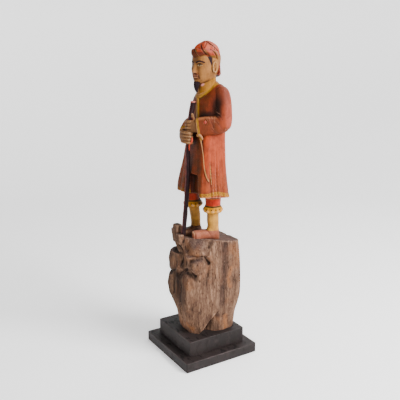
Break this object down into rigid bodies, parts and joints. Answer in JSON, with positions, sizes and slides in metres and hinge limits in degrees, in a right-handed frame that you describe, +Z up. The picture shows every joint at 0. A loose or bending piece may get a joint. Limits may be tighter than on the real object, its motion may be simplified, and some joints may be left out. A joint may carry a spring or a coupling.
{
  "type": "carved painted figure",
  "caption": "Carved wooden figure of a turbaned man leaning on a staff, in worn red and ochre paint, on a weathered timber block and a dark stepped plinth.",
  "frame": {"origin": "middle of the plinth's underside", "axes": "+Z up, the figure faces -Y and its left side is +X"},
  "size_m": [0.25, 0.25, 0.9397],
  "materials": {
    "painted_wood": "worn terracotta red, ochre and tan paint over carved wood; the timber block is bare, grey-brown and weathered",
    "stained_plinth_wood": "near-black stain with a low sheen, lighter where its edges are rubbed"
  },
  "bodies": {
    "root": {"carved_figure": "painted_wood", "plinth_block": "stained_plinth_wood", "plinth_board": "stained_plinth_wood"}
  },
  "joints": []
}
